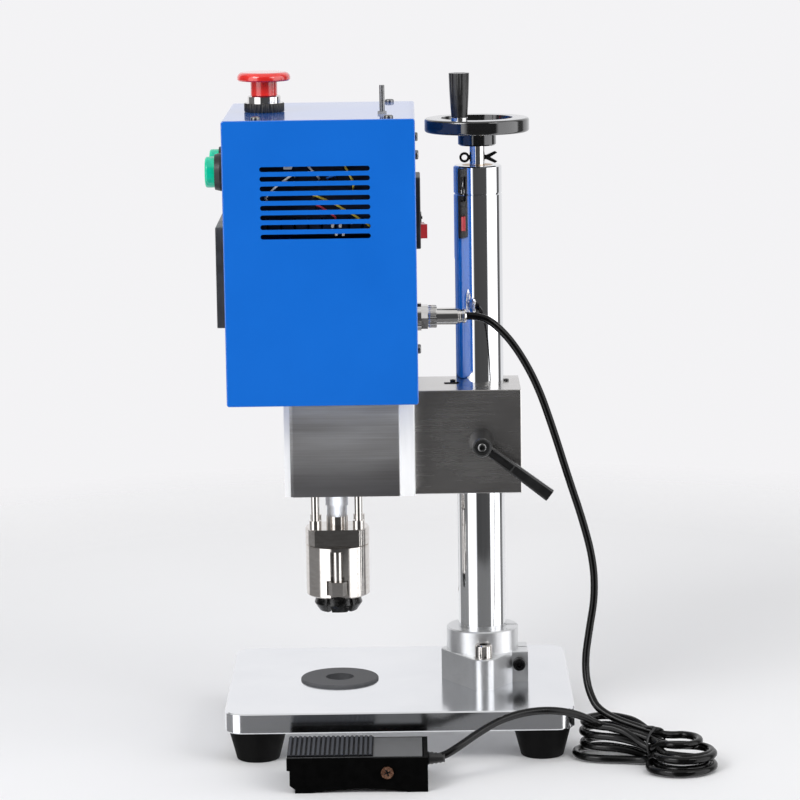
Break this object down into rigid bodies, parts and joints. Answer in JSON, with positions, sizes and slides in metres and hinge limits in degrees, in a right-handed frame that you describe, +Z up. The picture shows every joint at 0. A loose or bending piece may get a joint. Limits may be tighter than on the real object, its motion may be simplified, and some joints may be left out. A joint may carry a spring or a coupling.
{
  "type": "bottle capping machine",
  "caption": "Bench bottle capping machine: crimping head in a blue housing on a column stand, raised by a hand wheel, with a foot pedal on a coiled lead.",
  "frame": {"origin": "on the crimping axis, at the floor of the bottle nest's recess level with the base plate's top face", "axes": "+Z up along the crimping axis, -Y towards the operator and the buttons, +X the side of the clamp lever and the foot pedal"},
  "size_m": [0.3045, 0.3986, 0.5271],
  "materials": {
    "housing_blue": "gloss powder coat, clear blue",
    "dark_anodised": "dark grey-brown, brushed",
    "bright_steel": "ground and polished",
    "chrome": "mirror",
    "plate": "pale blue-grey, satin top and polished edge",
    "zinc": "zinc plated, satin",
    "screw_steel": "turned steel",
    "black_steel": "blackened, satin",
    "rubber_black": "matt",
    "grey_plastic": "mid grey",
    "gloss_black": "gloss",
    "grip_plastic": "dark grey, fluted",
    "panel_black": "black panel with a blank dark window",
    "lens_green": "green push button",
    "stop_red": "red",
    "rocker_red": "red rocker",
    "motor_grey": "dark grey",
    "brass": "plain bronze",
    "pedal_paint": "dark grey texture coat",
    "pedal_top": "grey",
    "pedal_rubber": "ribbed",
    "copper_screw": "copper plated",
    "cord_black": "gloss black"
  },
  "bodies": {
    "stand": {"base_plate": "plate", "rubber_feet": "rubber_black", "foot_screws": "zinc", "locating_pad": "grey_plastic", "column_foot": "zinc", "foot_cap_screws": "screw_steel", "foot_clamp_screw": "black_steel", "column_tube": "chrome", "column_cap": "bright_steel", "screw_bush": "brass", "pedal_base": "pedal_paint", "pedal_pivot": "copper_screw", "cord_hank": "cord_black", "cord_tie": "gloss_black", "cord_upper": "cord_black", "cord_lower": "cord_black"},
    "wheel": {"lead_screw": "screw_steel", "hand_wheel": "gloss_black", "cotter_pin": "black_steel", "grip_spindle": "screw_steel"},
    "grip": {"wheel_grip": "grip_plastic"},
    "head": {"column_block": "dark_anodised", "block_screws": "black_steel", "lift_nut": "brass", "spindle_block": "dark_anodised", "front_plate": "bright_steel", "rear_plate": "bright_steel", "housing_shell": "housing_blue", "side_cover_near": "housing_blue", "side_cover_far": "housing_blue", "housing_screws": "screw_steel", "roof_stud": "screw_steel", "control_bezel": "panel_black", "button_bezels": "gloss_black", "estop_collar": "chrome", "power_inlet": "gloss_black", "connector_socket": "chrome", "connector_plug": "chrome", "drive_motor": "motor_grey", "jaw_carrier": "screw_steel", "spindle_nut": "bright_steel"},
    "clamp": {"clamp_stud": "zinc"},
    "lever": {"clamp_lever": "gloss_black"},
    "estop_slide": {"estop_stem": "stop_red"},
    "estop_cap": {"estop_mushroom": "stop_red"},
    "start_near": {"start_lens_near": "lens_green"},
    "start_far": {"start_lens_far": "lens_green"},
    "rocker": {"power_rocker": "rocker_red"},
    "crimp": {"crimp_flange": "bright_steel", "guide_posts": "chrome", "crimp_sleeve": "chrome", "stop_screw": "screw_steel"},
    "treadle": {"pedal_treadle": "pedal_top", "pedal_pad": "pedal_rubber"},
    "jaw_body_1": {"jaw_1": "black_steel"},
    "jaw_body_2": {"jaw_2": "black_steel"},
    "jaw_body_3": {"jaw_3": "black_steel"},
    "jaw_body_4": {"jaw_4": "black_steel"},
    "jaw_body_5": {"jaw_5": "black_steel"},
    "jaw_body_6": {"jaw_6": "black_steel"}
  },
  "joints": [
    {"name": "wheel_spin", "type": "hinge", "parent": "stand", "child": "wheel", "pos_m": [0, 0.1145, 0.4372], "axis": [0, 0, 1], "range_deg": [-5852, 4052]},
    {"name": "head_slide", "type": "slide", "parent": "stand", "child": "head", "axis": [0, 0, 1], "range_m": [-0.045, 0.065], "deforming": ["cord_upper"]},
    {"name": "grip_spin", "type": "hinge", "parent": "wheel", "child": "grip", "pos_m": [0.0295, 0.1005, 0.4482], "axis": [0, 0, 1], "continuous": true},
    {"name": "clamp_turn", "type": "hinge", "parent": "head", "child": "clamp", "pos_m": [0.03, 0.1145, 0.1983], "axis": [1, 0, 0], "range_deg": [-52, 127]},
    {"name": "lever_lift", "type": "slide", "parent": "clamp", "child": "lever", "axis": [1, 0, 0], "range_m": [0, 0.004], "stiffness_N_per_m": 400},
    {"name": "estop_push", "type": "slide", "parent": "head", "child": "estop_slide", "axis": [0, 0, -1], "range_m": [0, 0.004], "stiffness_N_per_m": 1500},
    {"name": "estop_twist", "type": "hinge", "parent": "estop_slide", "child": "estop_cap", "pos_m": [0, -0.0512, 0.4791], "axis": [0, 0, -1], "range_deg": [0, 45], "stiffness_Nm_per_rad": 0.2},
    {"name": "start_near_push", "type": "slide", "parent": "head", "child": "start_near", "axis": [0, 1, 0], "range_m": [0, 0.003], "stiffness_N_per_m": 900},
    {"name": "start_far_push", "type": "slide", "parent": "head", "child": "start_far", "axis": [0, 1, 0], "range_m": [0, 0.003], "stiffness_N_per_m": 900},
    {"name": "rocker_tilt", "type": "hinge", "parent": "head", "child": "rocker", "pos_m": [0.024, 0.0685, 0.363], "axis": [0, 0, 1], "range_deg": [-16, 0]},
    {"name": "crimp_slide", "type": "slide", "parent": "head", "child": "crimp", "axis": [0, 0, -1], "range_m": [0, 0.004]},
    {"name": "treadle_press", "type": "hinge", "parent": "stand", "child": "treadle", "pos_m": [0.1602, 0.0385, -0.0255], "axis": [1, 0, 0], "range_deg": [0, 7], "stiffness_Nm_per_rad": 3, "springref_deg": -14.32},
    {"name": "jaw_swing_1", "type": "hinge", "parent": "head", "child": "jaw_body_1", "pos_m": [0.00571, 0.01223, 0.101], "axis": [-0.9063, 0.4226, 0], "range_deg": [0, 2.02]},
    {"name": "jaw_swing_2", "type": "hinge", "parent": "head", "child": "jaw_body_2", "pos_m": [-0.00774, 0.01106, 0.101], "axis": [-0.8192, -0.5736, 0], "range_deg": [0, 2.02]},
    {"name": "jaw_swing_3", "type": "hinge", "parent": "head", "child": "jaw_body_3", "pos_m": [-0.01345, -0.00118, 0.101], "axis": [0.0872, -0.9962, 0], "range_deg": [0, 2.02]},
    {"name": "jaw_swing_4", "type": "hinge", "parent": "head", "child": "jaw_body_4", "pos_m": [-0.00571, -0.01223, 0.101], "axis": [0.9063, -0.4226, 0], "range_deg": [0, 2.02]},
    {"name": "jaw_swing_5", "type": "hinge", "parent": "head", "child": "jaw_body_5", "pos_m": [0.00774, -0.01106, 0.101], "axis": [0.8192, 0.5736, 0], "range_deg": [0, 2.02]},
    {"name": "jaw_swing_6", "type": "hinge", "parent": "head", "child": "jaw_body_6", "pos_m": [0.01345, 0.00118, 0.101], "axis": [-0.0872, 0.9962, 0], "range_deg": [0, 2.02]}
  ],
  "couplings": [
    {"joint": "wheel_spin", "follows": "head_slide", "rad_per_m": -1570.8},
    {"joint": "jaw_swing_1", "follows": "crimp_slide", "rad_per_m": 8.8},
    {"joint": "jaw_swing_2", "follows": "crimp_slide", "rad_per_m": 8.8},
    {"joint": "jaw_swing_3", "follows": "crimp_slide", "rad_per_m": 8.8},
    {"joint": "jaw_swing_4", "follows": "crimp_slide", "rad_per_m": 8.8},
    {"joint": "jaw_swing_5", "follows": "crimp_slide", "rad_per_m": 8.8},
    {"joint": "jaw_swing_6", "follows": "crimp_slide", "rad_per_m": 8.8}
  ]
}
